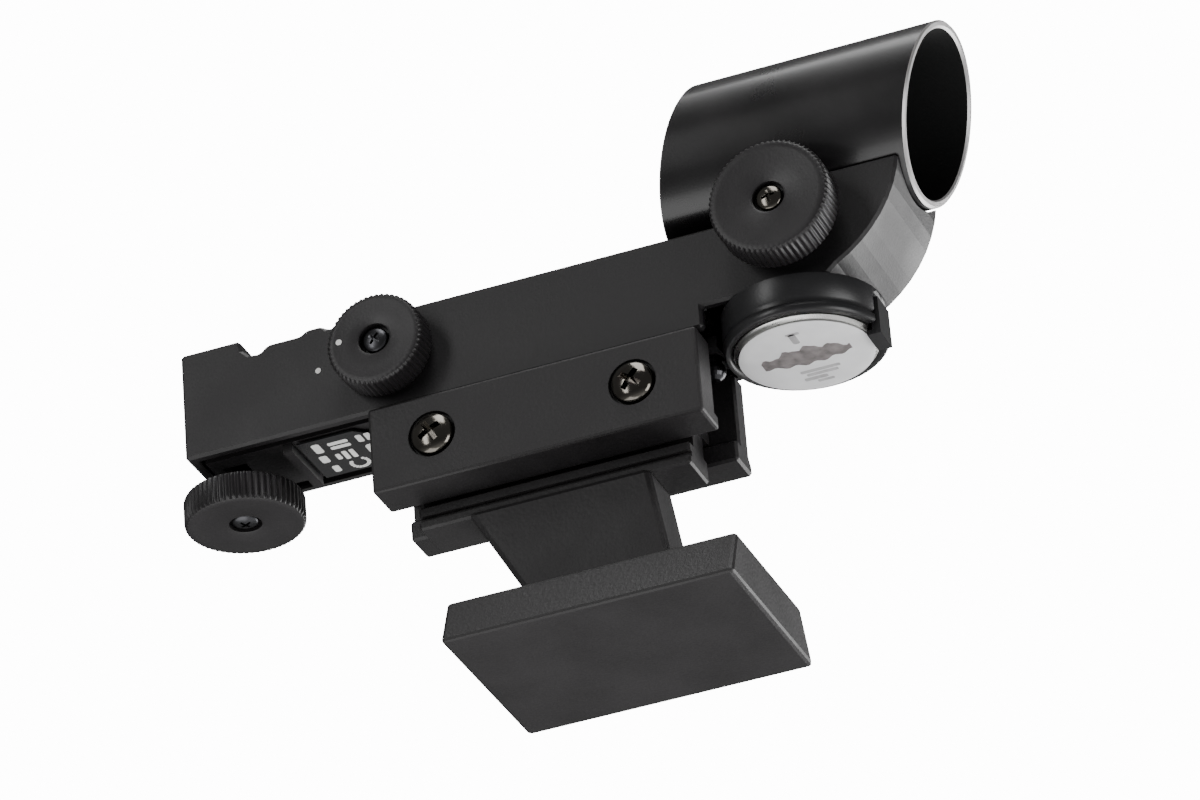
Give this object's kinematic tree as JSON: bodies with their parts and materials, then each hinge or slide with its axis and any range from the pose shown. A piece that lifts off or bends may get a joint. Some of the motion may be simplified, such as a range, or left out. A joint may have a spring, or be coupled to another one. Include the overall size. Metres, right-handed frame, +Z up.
{
  "type": "red dot finder scope",
  "caption": "Red-dot finder: slanted sight tube on a slim housing with altitude, azimuth and brightness knobs, on a dovetail clamp and raised foot.",
  "frame": {"origin": "on the mounting foot's bottom face, below the middle of the clamp rail", "axes": "+Y along the sight line towards the sky, +Z up out of the foot, +X to the finder's right side"},
  "size_m": [0.0321, 0.1192, 0.0836],
  "materials": {
    "black_cast": "fine matte black",
    "black_plastic": "fine matte grain",
    "tube_paint": "satin black",
    "knob": "matte black, knurled rim",
    "steel": "bright",
    "dark_steel": "blackened",
    "label": "dark sticker with white shapes",
    "window": "faint red coating",
    "led": "clear red",
    "board": "green solder mask",
    "pot_body": "blue",
    "cell": "bright",
    "white_label": "white print",
    "contact": "plated"
  },
  "bodies": {
    "bracket": {"mounting_bracket": "black_cast"},
    "carriage": {"base_carriage": "black_cast", "label_plate": "label"},
    "jaw": {"clamp_jaw": "black_cast"},
    "rear_clamp_screw": {"clamp_screw_rear": "steel"},
    "front_clamp_screw": {"clamp_screw_front": "steel"},
    "swivel": {"swivel_post": "dark_steel"},
    "housing_body": {"housing": "black_plastic", "tilt_pin": "steel", "altitude_spring": "steel", "azimuth_spring": "steel", "sight_tube": "tube_paint", "window_lens": "window", "lens_ring": "black_plastic", "led_emitter": "led", "circuit_board": "board", "potentiometer_body": "pot_body", "battery_holder": "black_plastic", "battery": "cell", "battery_label": "white_label", "battery_clip": "black_plastic", "battery_contact": "contact"},
    "altitude_adjuster": {"altitude_knob": "knob", "altitude_knob_screw": "dark_steel", "altitude_spindle": "steel"},
    "azimuth_adjuster": {"azimuth_knob": "knob", "azimuth_knob_screw": "dark_steel", "azimuth_spindle": "steel"},
    "brightness_control": {"brightness_knob": "knob", "brightness_knob_screw": "steel", "potentiometer_shaft": "steel"}
  },
  "joints": [
    {"name": "rail_slide", "type": "slide", "parent": "bracket", "child": "carriage", "axis": [0, 1, 0], "range_m": [-0.004, 0.004]},
    {"name": "jaw_slide", "type": "slide", "parent": "carriage", "child": "jaw", "axis": [1, 0, 0], "range_m": [0, 0.00104]},
    {"name": "front_clamp_turn", "type": "hinge", "parent": "jaw", "child": "front_clamp_screw", "pos_m": [0.0113, 0.0146, 0.0349], "axis": [1, 0, 0], "range_deg": [0, 540]},
    {"name": "rear_clamp_turn", "type": "hinge", "parent": "jaw", "child": "rear_clamp_screw", "pos_m": [0.0113, -0.015, 0.0349], "axis": [1, 0, 0], "range_deg": [0, 540]},
    {"name": "azimuth_turn", "type": "hinge", "parent": "carriage", "child": "swivel", "pos_m": [0, 0.023, 0.041], "axis": [0, 0, 1], "range_deg": [-1, 1]},
    {"name": "altitude_tilt", "type": "hinge", "parent": "swivel", "child": "housing_body", "pos_m": [0, 0.023, 0.047], "axis": [1, 0, 0], "range_deg": [-1, 1], "deforming": ["altitude_spring"]},
    {"name": "altitude_knob_turn", "type": "hinge", "parent": "housing_body", "child": "altitude_adjuster", "pos_m": [0, -0.0479, 0.0374], "axis": [0, 0, 1], "range_deg": [-900, 900]},
    {"name": "azimuth_knob_turn", "type": "hinge", "parent": "housing_body", "child": "azimuth_adjuster", "pos_m": [0.0114, -0.0216, 0.0506], "axis": [1, 0, 0], "range_deg": [-565, 565]},
    {"name": "brightness_turn", "type": "hinge", "parent": "housing_body", "child": "brightness_control", "pos_m": [0.0135, 0.038, 0.0551], "axis": [1, 0, 0], "range_deg": [0, 280]}
  ],
  "couplings": [
    {"joint": "front_clamp_turn", "follows": "jaw_slide", "rad_per_m": 8976},
    {"joint": "rear_clamp_turn", "follows": "jaw_slide", "rad_per_m": 8976},
    {"joint": "altitude_knob_turn", "follows": "altitude_tilt", "ratio": 890.96},
    {"joint": "azimuth_knob_turn", "follows": "azimuth_turn", "ratio": 560.46}
  ]
}
